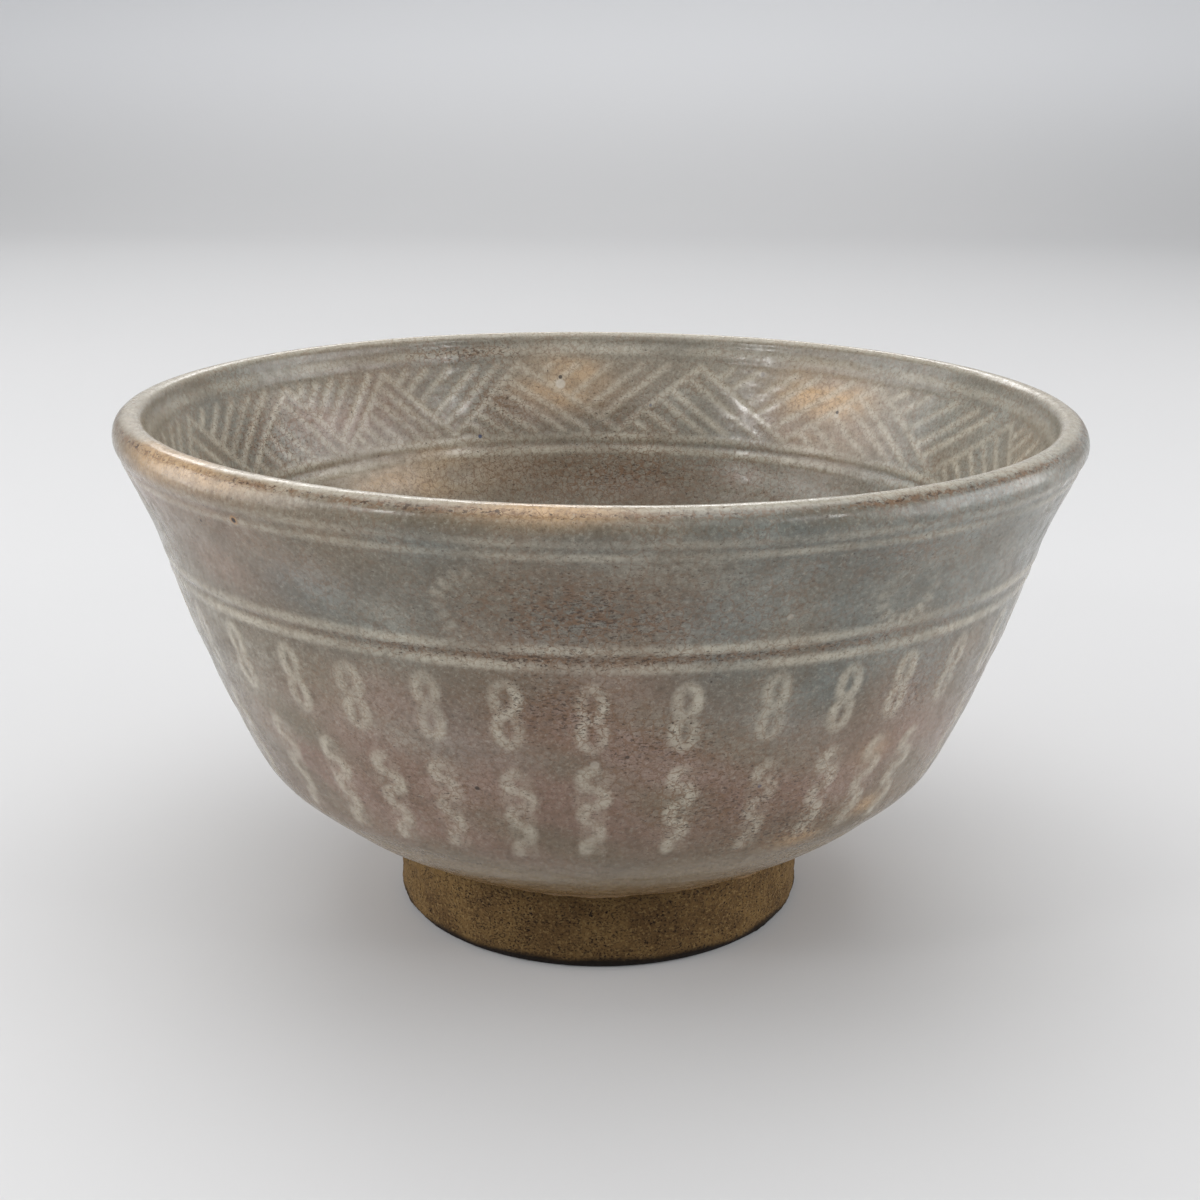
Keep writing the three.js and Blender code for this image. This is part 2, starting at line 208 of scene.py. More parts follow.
def glazed_path():
    """The glazed surface from the foot, up over the lip and down to the middle of the floor."""
    foot = np.array([FOOT_RADIUS, FOOT_HEIGHT])
    corner = np.array([BELLY_RADIUS, BELLY_HEIGHT])
    neck = np.array([NECK_RADIUS, BOWL_HEIGHT - NECK_DROP])
    edge = np.array([RIM_RADIUS, BOWL_HEIGHT - LIP_OUTER_ROUND])
    crest_radius = RIM_RADIUS - LIP_CREST_INSET
    cone_end = corner + BELLY_ROUND * (foot - corner) / np.linalg.norm(foot - corner)
    wall_start = corner + BELLY_ROUND * (neck - corner) / np.linalg.norm(neck - corner)
    outside = np.vstack([
        bowed(foot, cone_end, CONE_SAG),
        bend(cone_end, corner, wall_start),
        bowed(wall_start, neck, WALL_BULGE),
        np.linspace(neck, edge, 30),
        quarter((crest_radius, edge[1]), LIP_CREST_INSET, LIP_OUTER_ROUND, 0, 90, LIP_SHOULDER),
    ])
    floor = FOOT_HOLLOW_DEPTH + FLOOR_THICKNESS
    heights = np.linspace(neck[1], BELLY_HEIGHT + POOL_TOP_ABOVE_BELLY, 60)
    rising = outside[np.argsort(outside[:, 1])]
    wall = np.c_[np.interp(heights, rising[:, 1], rising[:, 0]) - WALL_THICKNESS, heights]
    inner_edge = (crest_radius, BOWL_HEIGHT - LIP_INNER_ROUND)
    pool_control = (POOL_CONTROL_RADIUS, floor + POOL_CONTROL_RISE)
    inside = np.vstack([
        quarter(inner_edge, LIP_INNER_INSET, LIP_INNER_ROUND, 90, 180, 1),
        wall,
        bend(wall[-1], pool_control, (FLOOR_FLAT_RADIUS, floor)),
        [[0, floor]],
    ])
    even, points = walked(np.vstack([outside, inside]), PATH_STEP)
    at_crest = even[np.argmax(points[:, 1])]
    from_crest = np.abs(even - at_crest)
    off_lip = np.clip((from_crest - LIP_REACH) / LIP_REACH, 0, 1)
    points = softened(points, KINK_ROUNDING, off_lip * np.clip(even / FOOT_REACH, 0, 1))
    near_lip = np.clip((2 * LIP_REACH - from_crest) / LIP_REACH, 0, 1)
    points = softened(points, LIP_ROUNDING, near_lip)
    for side in (even < at_crest, even > at_crest):
        at_neck = even[side][np.argmin(np.abs(points[side, 1] - neck[1]))]
        near_neck = np.exp(-(((even - at_neck) / NECK_REACH) ** 2))
        points = softened(points, NECK_ROUNDING, near_neck)
    points[:, 0] = np.maximum(points[:, 0], 0)
    return even, points, at_crest


path_length, path_points, crest_length = glazed_path()
tangent = np.gradient(path_points, PATH_STEP, axis=0)
tangent /= np.linalg.norm(tangent, axis=1)[:, None]
path_normals = np.c_[tangent[:, 1], -tangent[:, 0]]


def on_path(length):
    """Radius, height and outward direction of the glazed surface at a distance along it."""
    columns = (*path_points.T, *path_normals.T)
    radius, height, out, up = (np.interp(length, path_length, column) for column in columns)
    return radius, height, out, up


def length_at(height, outside=True):
    """Distance along the glazed surface where the wall outside, or inside, has that height."""
    here = (path_length <= crest_length) if outside else (path_length >= crest_length)
    heights, lengths = path_points[here, 1], path_length[here]
    if not outside:
        heights, lengths = heights[::-1], lengths[::-1]
    return float(np.interp(height, heights, lengths))


def ripple(angle, along, turns, length, seed, waves=9):
    """A smooth pattern of about -1 to 1 that closes on itself round the bowl."""
    dice = np.random.default_rng(seed)
    total = 0
    for _ in range(waves):
        turn = dice.integers(0, turns + 1)
        pace = dice.uniform(-1, 1) * 2 * math.pi / length
        total = total + np.cos(turn * angle + pace * along + dice.uniform(0, 2 * math.pi))
    return total / math.sqrt(waves)


def round_ripple(angle, turns, seed, waves=9):
    """A ripple that changes only with the direction."""
    return ripple(angle, 0, turns, 1, seed, waves)


def smooth_step(low, high, value):
    """0 below low, 1 above high and smooth between them. Low may be the higher one."""
    share = np.clip((value - low) / (high - low), 0, 1)
    return share * share * (3 - 2 * share)


def turned_by(angle, degrees):
    """Angle from a direction in degrees, between -pi and pi."""
    return (angle - math.radians(degrees) + math.pi) % (2 * math.pi) - math.pi


def from_back(angle):
    """Degrees from the back, positive to the right seen from the front."""
    return 180 - np.degrees(angle) % 360


def painted(mask, x, y, stroke, half_width, soft, strength):
    """Adds a brush stroke along points (x, y, share of the strength) to a mask."""
    best = np.zeros_like(mask)
    for (ax, ay, a_share), (bx, by, b_share) in zip(stroke[:-1], stroke[1:]):
        dx, dy = bx - ax, by - ay
        t = np.clip(((x - ax) * dx + (y - ay) * dy) / (dx * dx + dy * dy + 1e-12), 0, 1)
        gap = np.hypot(x - ax - t * dx, y - ay - t * dy)
        share = a_share + (b_share - a_share) * t
        best = np.maximum(best, share * smooth_step(half_width + soft, half_width - soft, gap))
    np.maximum(mask, strength * best, out=mask)


def strand(top, bottom, turns, sway, phase, hand, slack):
    """One strand of a twist of two, from top to bottom. Hand is 1 or -1, and slack draws in its
    lower end. The strand is strongest where it is farthest from the middle."""
    points = []
    curl = 0.3 * (top - bottom) / (math.pi * turns)
    for share in np.linspace(0, 1, STRAND_POINTS):
        turn = math.pi * turns * share + phase
        reach = sway * (1 - slack + slack * math.exp(-(((share - 0.3) / 0.25) ** 2)))
        height = top + (bottom - top) * share + curl * math.sin(2 * turn)
        strength = 0.65 + 0.35 * abs(math.sin(turn))
        points.append((hand * reach * math.sin(turn), height, strength))
    return points


def rope_marks(mask, angle, radius, height):
    """Two rows of rope stamps: round double links above, a looser twist below."""
    dice = np.random.default_rng(21)
    for column in range(ROPE_COLUMNS):
        number = (column + ROPE_COLUMNS // 2) % ROPE_COLUMNS - ROPE_COLUMNS // 2
        spare = dice.uniform(-0.7, 0.7, 2)
        strong = dice.uniform(0.6, 1, 4)
        soft = dice.uniform(0.35, 0.55)
        drops = dice.uniform(-0.5, 0.5, 2)
        width = dice.uniform(0.85, 1.1)
        stamps = (
            (UPPER_ROPE, UPPER_SHIFTS, strong[:2]),
            (LOWER_ROPE, LOWER_SHIFTS, (0.4 + 0.6 * strong[2], 0.3 * strong[3])),
        )
        for row, (stamp, shifts, strengths) in enumerate(stamps):
            top, bottom, turns, phase, sway, slack, half_width = stamp
            at = 360 / ROPE_COLUMNS * number + shifts.get(number, spare[row])
            x = turned_by(angle, at) * radius
            here = (height > bottom - MARK_MARGIN) & (height < top + MARK_MARGIN)
            here = here & (np.abs(x) < ROPE_REACH)
            if not here.any():
                continue
            part = mask[here]
            top, bottom = top + drops[row] - 0.5, bottom + drops[row] + 0.5
            for hand, strength in zip((1, -1), strengths):
                line = strand(top, bottom, turns, sway * width, phase, hand, slack)
                painted(part, x[here], height[here], line, half_width, soft, strength)
            mask[here] = part
    return mask


def flower_marks(mask, angle, radius, height):
    """Stamped flowers: a ring of short petals, faint under the glaze."""
    dice = np.random.default_rng(9)
    for number, (at, middle) in enumerate(FLOWERS):
        x = turned_by(angle, at) * radius
        y = height - middle
        here = (np.abs(x) < FLOWER_REACH) & (np.abs(y) < FLOWER_REACH)
        if not here.any():
            continue
        part = mask[here]
        for petal in range(FLOWER_PETALS):
            turn = 2 * math.pi * petal / FLOWER_PETALS
            share = 0.12 + 0.5 * (0.5 + 0.5 * math.cos(turn + 1.5 + 1.7 * number)) ** 1.5
            share *= dice.uniform(0.6, 1.2)
            stroke = [(r * math.sin(turn), r * math.cos(turn), share) for r in PETAL_ENDS]
            painted(part, x[here], y[here], stroke, PETAL_HALF_WIDTH, PETAL_SOFTNESS, 1)
        mask[here] = part
    return mask


def hatch_strokes(dice):
    """Strokes of the hatched band, falling under each peak and rising between two: each as its
    first direction and height, and its last."""
    tall = HATCH_TOP - HATCH_BOTTOM
    peaks = [*HATCH_PEAKS, HATCH_PEAKS[0] + 360]
    feet = [HATCH_FEET[-1] - 360, *HATCH_FEET]
    strokes = []
    for number, peak in enumerate(peaks[:-1]):
        left, right, beyond = feet[number], feet[number + 1], peaks[number + 1]
        strokes.append((left, HATCH_BOTTOM, peak, HATCH_TOP))
        strokes.append((peak, HATCH_TOP, right, HATCH_BOTTOM))
        for tooth in range(HATCH_TEETH):
            share = (tooth + 1 + dice.uniform(-0.12, 0.12)) / (HATCH_TEETH + 1)
            rise = HATCH_BOTTOM + share * tall
            start = left + share * (peak - left)
            end = start + (rise - HATCH_BOTTOM) / tall * (right - peak)
            strokes.append((start, rise, end, HATCH_BOTTOM))
            fall = HATCH_TOP - share * tall
            start = peak + share * (right - peak)
            end = start + (HATCH_TOP - fall) / tall * (beyond - right)
            strokes.append((start, fall, end, HATCH_TOP))
    return strokes


def hatch_marks(mask, angle, height):
    """Chevrons with teeth."""
    turn = from_back(angle)
    dice = np.random.default_rng(5)
    millimetres = math.radians(1) * HATCH_RADIUS
    near = (height > HATCH_BOTTOM - MARK_MARGIN) & (height < HATCH_TOP + MARK_MARGIN)
    for first, low, last, high in hatch_strokes(dice):
        middle = (first + last) / 2
        away = (turn - middle + 180) % 360 - 180
        here = (np.abs(away) < abs(last - first) / 2 + 3) & near
        strength, wobble = dice.uniform(0.65, 1), dice.uniform(-0.35, 0.35)
        if not here.any():
            continue
        part = mask[here]
        ends = ((first - middle) * millimetres, (last - middle) * millimetres)
        stroke = [
            (ends[0], low, 0.8),
            ((ends[0] + ends[1]) / 2 + wobble, (low + high) / 2, 1),
            (ends[1], high, 0.8),
        ]
        x, y = away[here] * millimetres, height[here]
        painted(part, x, y, stroke, HATCH_HALF_WIDTH, HATCH_SOFTNESS, strength)
        mask[here] = part
    return mask


def line_marks(mask, angle, length):
    """Turned lines, of uneven strength round the bowl."""
    for outside, lines in ((True, OUTER_LINES), (False, INNER_LINES)):
        for number, (height, strength, half_width) in enumerate(lines):
            middle = length_at(height, outside) + 0.12 * round_ripple(angle, 5, 60 + number)
            uneven = 0.78 + 0.3 * round_ripple(angle, 24, 80 + number, 16)
            stripe = np.exp(-(np.abs((length - middle) / half_width) ** 3))
            np.maximum(mask, strength * np.clip(uneven, 0.35, 1) * stripe, out=mask)
    return mask


# Patches of colour, outside and then inside: direction (inside from the back), height, half width
# round the bowl, half height, amount
WARM_PATCHES = (
    (
        (-44, 62, 12, 5, 0.8), (-58, 66, 12, 3, 0.7), (-36, 33, 18, 11, 1.0),
        (-14, 30, 16, 5, 0.8), (-8, 46, 12, 9, 0.6), (-27, 45, 9, 5, 0.5), (20, 34, 24, 6, 0.6),
        (2, 36, 18, 9, 0.9), (0, 46, 9, 5, 0.5), (38, 36, 7, 4, 1.0), (60, 34, 12, 8, 0.6),
        (42, 44, 8, 7, 0.6), (0, 60, 12, 5, 0.3), (150, 50, 40, 14, 0.6), (-120, 40, 30, 12, 0.6),
    ),
    (
        (-40, 61.5, 12, 7, 1.0), (-52, 60, 5, 4, 0.4), (38, 61, 12, 6, 0.9), (-14, 59, 8, 5, 0.5),
        (-30, 51, 16, 3, 0.6), (150, 55, 30, 10, 0.6), (10, 46, 16, 3, 0.4),
    ),
)
OCHRE_PATCHES = (
    (
        (-48, 71, 13, 1.5, 1.0), (-30, 68, 8, 1.5, 0.1), (-5, 71.5, 8, 1.0, 1.0),
        (-5, 70.4, 5, 1, 0.3), (-56, 70, 9, 2, 0.4), (29.5, 25, 3.4, 1.4, 0.8),
        (42, 27.5, 2.6, 1.4, 0.6), (38, 36.5, 3, 2, 0.4), (170, 66, 16, 3, 0.6),
    ),
    (
        (-132, 71, 13, 1.5, 0.9), (-6.5, 64, 8, 4, 1.0), (41, 61.5, 8, 5, 1.0),
        (35, 65, 8, 3, 0.5), (-37, 50.5, 14, 3.6, 1.0),
    ),
)
GREY_PATCHES = (
    (
        (-72, 52, 18, 26, 0.6), (26, 60.5, 34, 10, 1.3), (62, 58, 26, 18, 0.9),
        (-28, 57.5, 16, 6, 1.0), (-20, 68, 14, 2.6, 0.8), (24, 68.5, 24, 3.5, 1.0),
        (66, 70, 26, 4, 1.0), (-20, 44.5, 6, 5, 0.9), (27, 47, 16, 6, 0.9),
        (-14, 40, 10, 2.2, 0.4), (130, 45, 40, 16, 0.7), (-130, 60, 40, 10, 0.7),
    ),
    (
        (118, 71, 30, 3, 0.8), (-70, 60, 24, 12, 1.0), (-22, 64, 12, 6, 1.0),
        (22, 60, 14, 8, 0.9), (65, 60, 22, 12, 1.0), (0, 70, 80, 2.5, 0.5),
        (-4, 56, 14, 2.5, 0.5), (20, 47, 30, 6, 0.5), (180, 50, 80, 30, 0.6),
    ),
)
PALE_PATCHES = (
    (
        (-50, 46, 9, 8, 0.7), (-82, 54, 16, 12, 0.6), (-8, 66.5, 9, 1.6, 0.4),
        (10, 64, 12, 3, 0.45), (-24, 41.5, 8, 2.2, 0.35), (16, 44, 5, 3, 0.3),
        # The patch at -32 degrees, 71.2 high, on the lip is a painted highlight
        (34, 60, 6, 5, 0.4), (54, 63, 8, 8, 0.4), (-32, 71.2, 10, 1.0, 1.2), (-22, 57, 5, 4, 0.4),
        (80, 52, 16, 14, 0.15), (170, 60, 40, 10, 0.4),
    ),
    (
        (-36, 51, 16, 4.6, 1.4), (16, 62, 8, 5, 0.4), (5, 69.8, 24, 1.6, 0.9),
        (-60, 66, 12, 2, 0.5), (36, 66, 16, 3, 0.5), (75, 62, 16, 8, 0.4), (30, 48, 14, 3, 0.4),
    ),
)
FLECK_PATCHES = (
    (
        (-2, 59.5, 12, 5, 1.0), (-5, 47, 8, 4, 1.0), (8, 42, 9, 4, 0.7), (18, 33, 16, 5, 0.8),
        (28, 27, 10, 3, 0.8), (42, 44.5, 7, 4, 0.6), (-22, 33, 10, 5, 0.5),
        (-12, 53.7, 30, 0.7, 0.8), (25, 53.7, 20, 0.7, 0.6), (30, 64, 18, 3, 0.3),
        (150, 45, 30, 14, 0.8),
    ),
    (
        (-62, 61, 14, 6, 0.7), (-22, 69, 9, 1.4, 1.0), (5, 49, 26, 4, 0.8), (3, 59, 9, 5, 0.45),
        (-18, 61, 6, 4, 0.6), (160, 50, 40, 10, 0.6),
    ),
)

# Patches of each tint, and how uneven they are: middle, swing, turns, wave length, seed, waves
TINTS = {
    "fleck": (FLECK_PATCHES,),
    "pale": (PALE_PATCHES, 0.8, 0.4, 30, 5, 48, 24),
    "warm": (WARM_PATCHES, 0.75, 0.35, 18, 9, 41, 20),
    "ochre": (OCHRE_PATCHES, 0.8, 0.3, 30, 6, 43, 20),
    "grey": (GREY_PATCHES, 0.8, 0.3, 24, 8, 45, 20),
}
OFF_THE_BOWL = -99  # a height that no mark reaches


def patches(sides, angle, length, height, radius):
    """Sum of soft patches of colour."""
    total = np.zeros_like(angle)
    for rows, outside in zip(sides, (True, False)):
        side = (length <= crest_length) == outside
        for at, middle, wide, tall, amount in rows:
            x = turned_by(angle, at if outside else 180 - at) * radius / wide
            y = (height - middle) / tall
            total += amount * np.exp(-(x * x + y * y)) * side
    return total


def marks(angle, length, radius, height):
    """Where white slip shows: turned lines, rope stamps and flowers outside, hatching inside."""
    outside = length <= crest_length
    slip = line_marks(np.zeros_like(angle), angle, length)
    stamped = np.zeros_like(angle)
    if outside.any():
        flat = np.where(outside, height, OFF_THE_BOWL)
        stamped = rope_marks(stamped, angle, radius, flat)
        stamped = flower_marks(stamped, angle, radius, flat)
    if (~outside).any():
        flat = np.where(outside, OFF_THE_BOWL, height)
        stamped = hatch_marks(stamped, angle, flat)
    return np.maximum(slip, stamped)


def fields(angle, length):
    """Outward relief in millimetres and the masks of the colours, at points of the surface."""
    radius, height, _, _ = on_path(length)
    outside = length <= crest_length
    slip = marks(angle, length, radius, height)
    relief = np.where(outside, OUTER_MARK_RELIEF, INNER_MARK_RELIEF) * slip
    for level, side, depth in HOLLOWS:
        from_middle = (length - length_at(level, side)) / HOLLOW_HALF_WIDTH
        relief -= depth * np.exp(-(from_middle**2))
    relief += WAVE_RELIEF * ripple(angle, length, 6, 5, 3)
    relief += SKIN_RELIEF * ripple(angle, length, 60, 1.6, 4, 24)
    relief *= smooth_step(*RELIEF_RADII, radius)
    smear = 0.5 + 0.5 * ripple(angle, length, 40, 6, 31, 20)
    haze = outside * smooth_step(25, 20, height + 0.8 * round_ripple(angle, 20, 49))
    below_crest = crest_length - length
    under_lip = np.exp(-(((below_crest - 2.1) / 0.5) ** 2))
    masks = {
        "haze": haze * (0.85 + 0.2 * smear),
        # Band along the crest of the lip: its paler glaze and a painted highlight
        "crest": np.exp(-(((below_crest - 0.2) / 1.4) ** 4)),
        "under_lip": under_lip * (0.8 + 0.3 * round_ripple(angle, 16, 51)),
        # The inside: a paler tint there is painted light, and the crackle is a little stronger
        "inside": smooth_step(-1, 2, -below_crest),
        "slip": slip * (0.8 + 0.2 * smear),
        "edge": outside * smooth_step(19, 12.2, height + 1.2 * round_ripple(angle, 9, 47)),
    }
    for name, (rows, *unevenness) in TINTS.items():
        masks[name] = patches(rows, angle, length, height, radius)
        if unevenness:
            middle, swing, *waves = unevenness
            masks[name] *= middle + swing * ripple(angle, length, *waves)
    return relief, {name: np.clip(mask, 0, 1) for name, mask in masks.items()}


def hand_thrown(angle, radius, height):
    """Radius and height with the wobbles of a thrown bowl, which grow towards the rim."""
    rise = np.clip(height / BOWL_HEIGHT, 0, 1)
    wide = 0.1 * (np.cos(2 * angle + math.pi) - 1) + 0.04 * (np.cos(3 * angle + 2) - 1)
    lift = -0.3 - 0.3 * np.sin(angle) + 0.06 * (np.cos(2 * angle + 1) - 1)
    return radius + wide * rise * (radius / RIM_RADIUS), height + lift * rise**4


def ring_mesh(name, points, masks, hidden, steps):
    """A closed mesh of rows of points round the bowl, closed by more rows that are hidden."""
    rows = points.shape[0]
    everything = np.concatenate([points, hidden]) if len(hidden) else points
    total = everything.shape[0]
    index = np.arange(total * steps).reshape(total, steps)
    following = np.roll(index, -1, axis=1)
    low, high = np.arange(total), (np.arange(total) + 1) % total
    quads = np.stack([index[low], following[low], following[high], index[high]], axis=-1)
    data = bpy.data.meshes.new(name)
    data.from_pydata((everything.reshape(-1, 3) * MM).tolist(), [], quads.reshape(-1, 4).tolist())
    add_map(data, total, steps)
    for mask, values in masks.items():
        full = np.zeros(total * steps, np.float32)
        full[: rows * steps] = values.ravel()
        data.attributes.new(mask, "FLOAT", "POINT").data.foreach_set("value", full)
    data.validate()
    data.polygons.foreach_set("use_smooth", np.ones(len(data.polygons), bool))
    sharpen(data, rows, total, steps)
    piece = bpy.data.objects.new(name, data)
    bpy.context.scene.collection.objects.link(piece)
    return piece


def sharpen(data, rows, total, steps):
    """Marks the two rings where the shown side meets the hidden one as sharp."""
    ends = np.zeros(len(data.edges) * 2, np.int64)
    data.edges.foreach_get("vertices", ends)
    ring = ends.reshape(-1, 2) // steps
    same = ring[:, 0] == ring[:, 1]
    sharp = same & ((ring[:, 0] == 0) | (ring[:, 0] >= rows - 1)) & (rows < total)
    data.attributes.new("sharp_edge", "BOOLEAN", "EDGE").data.foreach_set("value", sharp)


def add_map(data, total, steps):
    """A flat map: the ring is cut into strips, which are laid one above the other."""
    layer = data.uv_layers.new(name="OFBake")
    corners = np.zeros(len(data.loops), np.int64)
    data.loops.foreach_get("vertex_index", corners)
    corners = corners.reshape(-1, 4)
    ring, column = corners // steps, corners % steps
    strip_steps = steps // MAP_STRIPS
    first = column[:, :1]
    column = np.where(column < first - 1, column + steps, column)
    strip = first // strip_steps
    ring = np.where(ring < ring[:, :1], ring + total, ring)
    used = 1 - 2 * MAP_MARGIN
    u = MAP_MARGIN + used * ((column - strip * strip_steps) / strip_steps)
    v = (strip + MAP_MARGIN + used * ring / total) / MAP_STRIPS
    layer.data.foreach_set("uv", np.stack([u, v], axis=-1).ravel().astype(np.float32))


def around_axis(angle, radius, height):
    """Points at a direction, radius and height, seen from the front."""
    return np.stack([radius * np.sin(angle), -radius * np.cos(angle), height], axis=-1)


def glazed_points(angle, length, inset=0):
    """Points of the glazed surface, or at inset millimetres under it, and the masks there."""
    radius, height, out, up = on_path(length)
    relief, masks = fields(angle, length)
    rise = relief - inset
    radius, height = hand_thrown(angle, radius + rise * out, height + rise * up)
    return around_axis(angle, radius, height), masks


def zone(name, start, end, row_step, steps):
    """A ring-shaped piece of the glazed surface. Its end is tucked just under the next piece, so
    that no light falls between them."""
    rows = max(4, round((end - start) / row_step))
    angle = 2 * math.pi * np.arange(steps) / steps
    points, masks = glazed_points(*np.meshgrid(angle, np.linspace(start, end, rows + 1)))
    tucked, _ = glazed_points(*np.meshgrid(angle, [end + TUCK_LENGTH]), TUCK_DEPTH)
    back = np.linspace(end, start, max(2, round((end - start) / HIDDEN_STEP)) + 1)
    radius, height, out, up = on_path(back)
    radius, height = np.maximum(radius - HIDDEN_DEPTH * out, 0.02), height - HIDDEN_DEPTH * up
    behind = around_axis(*np.broadcast_arrays(angle, radius[:, None], height[:, None]))
    return ring_mesh(name, points, masks, np.concatenate([tucked, behind]), steps)


# Materials


def node(tree, kind, **settings):
    """A new node with its settings."""
    made = tree.nodes.new(kind)
    for name, value in settings.items():
        setattr(made, name, value)
    return made


def feed(tree, made, name, value):
    """Links a socket or sets a value on an input."""
    if isinstance(value, bpy.types.NodeSocket):
        tree.links.new(value, made.inputs[name])
    else:
        made.inputs[name].default_value = value


def mix(tree, share, first, second):
    """A share of the second colour over the first."""
    made = node(tree, "ShaderNodeMix", data_type="RGBA", clamp_factor=True)
    feed(tree, made, 0, share)
    feed(tree, made, 6, first)
    feed(tree, made, 7, second)
    return made.outputs[2]


def maths(tree, operation, first, second, third=None):
    """Result of a Math node."""
    made = node(tree, "ShaderNodeMath", operation=operation)
    feed(tree, made, 0, first)
    feed(tree, made, 1, second)
    if third is not None:
        feed(tree, made, 2, third)
    return made.outputs[0]


def fade(tree, value, low, high, to_low=0.0, to_high=1.0):
    """Smooth step of a value from low to high."""
    made = node(tree, "ShaderNodeMapRange", interpolation_type="SMOOTHSTEP")
    feed(tree, made, "Value", value)
    feed(tree, made, "From Min", low)
    feed(tree, made, "From Max", high)
    feed(tree, made, "To Min", to_low)
    feed(tree, made, "To Max", to_high)
    return made.outputs["Result"]


def place(tree, stretch=(1, 1, 1)):
    """Coordinates of the object, in millimetres, with its features stretched."""
    coordinates = node(tree, "ShaderNodeTexCoord")
    scaled = node(tree, "ShaderNodeMapping")
    feed(tree, scaled, "Vector", coordinates.outputs["Object"])
    feed(tree, scaled, "Scale", tuple(1 / (MM * s) for s in stretch))
    return scaled.outputs["Vector"]


def noise(tree, where, size, detail, rough=0.5):
    """Noise of about 0 to 1 whose features are size millimetres across."""
    made = node(tree, "ShaderNodeTexNoise")
    feed(tree, made, "Vector", where)
    feed(tree, made, "Scale", 1 / size)
    feed(tree, made, "Detail", detail)
    feed(tree, made, "Roughness", rough)
    return made.outputs["Fac"]


def cells(tree, where, size, feature="F1"):
    """Voronoi cells of about size millimetres."""
    made = node(tree, "ShaderNodeTexVoronoi", feature=feature)
    feed(tree, made, "Vector", where)
    feed(tree, made, "Scale", 1 / size)
    return made


def cracks(tree, where, size, width):
    """Fine wandering cracks between cells of about size millimetres."""
    shift = node(tree, "ShaderNodeTexNoise")
    feed(tree, shift, "Vector", where)
    feed(tree, shift, "Scale", 1.4 / size)
    bent = node(tree, "ShaderNodeVectorMath", operation="MULTIPLY_ADD")
    feed(tree, bent, 0, shift.outputs["Color"])
    feed(tree, bent, 1, (size, size, size))
    feed(tree, bent, 2, where)
    edges = cells(tree, bent.outputs["Vector"], size, "DISTANCE_TO_EDGE")
    return fade(tree, edges.outputs["Distance"], width, 0.2 * width)


def mask_of(tree, name):
    """A mask that the mesh carries."""
    return node(tree, "ShaderNodeAttribute", attribute_name=name).outputs["Fac"]


def material(name):
    """A new material, its node tree and its shader."""
    made = bpy.data.materials.new(name)
    made.use_nodes = True
    tree = made.node_tree
    shader = tree.nodes["Principled BSDF"]
    return made, tree, shader


def linear(level):
    """Linear level of an sRGB level given as 0 to 255."""
    return ((level / 255 + 0.055) / 1.055) ** 2.4 if level > 10 else level / 3294.6


def colour(red, green, blue):
    """Linear colour of an sRGB colour given as 0 to 255."""
    return linear(red), linear(green), linear(blue), 1


def shades(tree, share, pair):
    """A colour between two."""
    return mix(tree, share, colour(*pair[0]), colour(*pair[1]))


def tinted(tree, body, mask, strength, tint):
    """A colour with a tint over it, as strong as strength times the mask."""
    return mix(tree, maths(tree, "MULTIPLY", mask, strength), body, colour(*tint))


def tinted_within(tree, body, value, fading, tint):
    """A colour with a tint over it that fades in over a value: low, high, least and most share."""
    return mix(tree, fade(tree, value, *fading), body, colour(*tint))


def specks(tree, where, size, radius, share):
    """Round specks: one in each cell, but only in a share of the cells."""
    found = cells(tree, where, size)
    dot = fade(tree, found.outputs["Distance"], radius, radius * 0.55)
    chosen = node(tree, "ShaderNodeSeparateColor")
    feed(tree, chosen, "Color", found.outputs["Color"])
    return maths(tree, "MULTIPLY", dot, maths(tree, "LESS_THAN", chosen.outputs[0], share))


# Colours of the glaze and the clay, sRGB from 0 to 255
BROWN = ((115, 103, 85), (130, 118, 99))
GREY = ((108, 111, 105), (129, 132, 126))
PINK = ((136, 110, 96), (154, 130, 118))
OCHRE = (212, 174, 128)
VEIL = (182, 178, 164)
MOTTLE = (88, 75, 58)
HAZE = ((153, 134, 106), (164, 147, 121))
SLIP = (200, 192, 174)
# Tint of the lip's crest: its own paler glaze, made lighter as a painted highlight
CREST_PALE_AND_HIGHLIGHT = (204, 196, 178)
# Painted light: a paler tone laid over the inside of the bowl
INSIDE_PAINTED_LIGHT = (172, 166, 150)
STAIN = (118, 88, 62)
FLECK = (62, 44, 30)
EDGE = (138, 108, 70)
CLAY = ((100, 75, 43), (124, 97, 58))
SAND = (154, 126, 82)
# Also the dark of the foot's burnt edge, its painted contact shadow and painted shade
PORE = (26, 17, 10)


def on_wall(direction, height, outside):
    """Point of the bowl's surface, in metres."""
    radius, _, _, _ = on_path(length_at(height, outside))
    angle = math.radians(direction if outside else 180 - direction)
    return MM * radius * math.sin(angle), -MM * radius * math.cos(angle), MM * height


def spot(tree, centre, radius):
    """A round spot about a point of the object, 1 inside and 0 outside."""
    coordinates = node(tree, "ShaderNodeTexCoord")
    gap = node(tree, "ShaderNodeVectorMath", operation="DISTANCE")
    feed(tree, gap, 0, coordinates.outputs["Object"])
    feed(tree, gap, 1, centre)
    return fade(tree, gap.outputs["Value"], radius * MM, 0.6 * radius * MM)


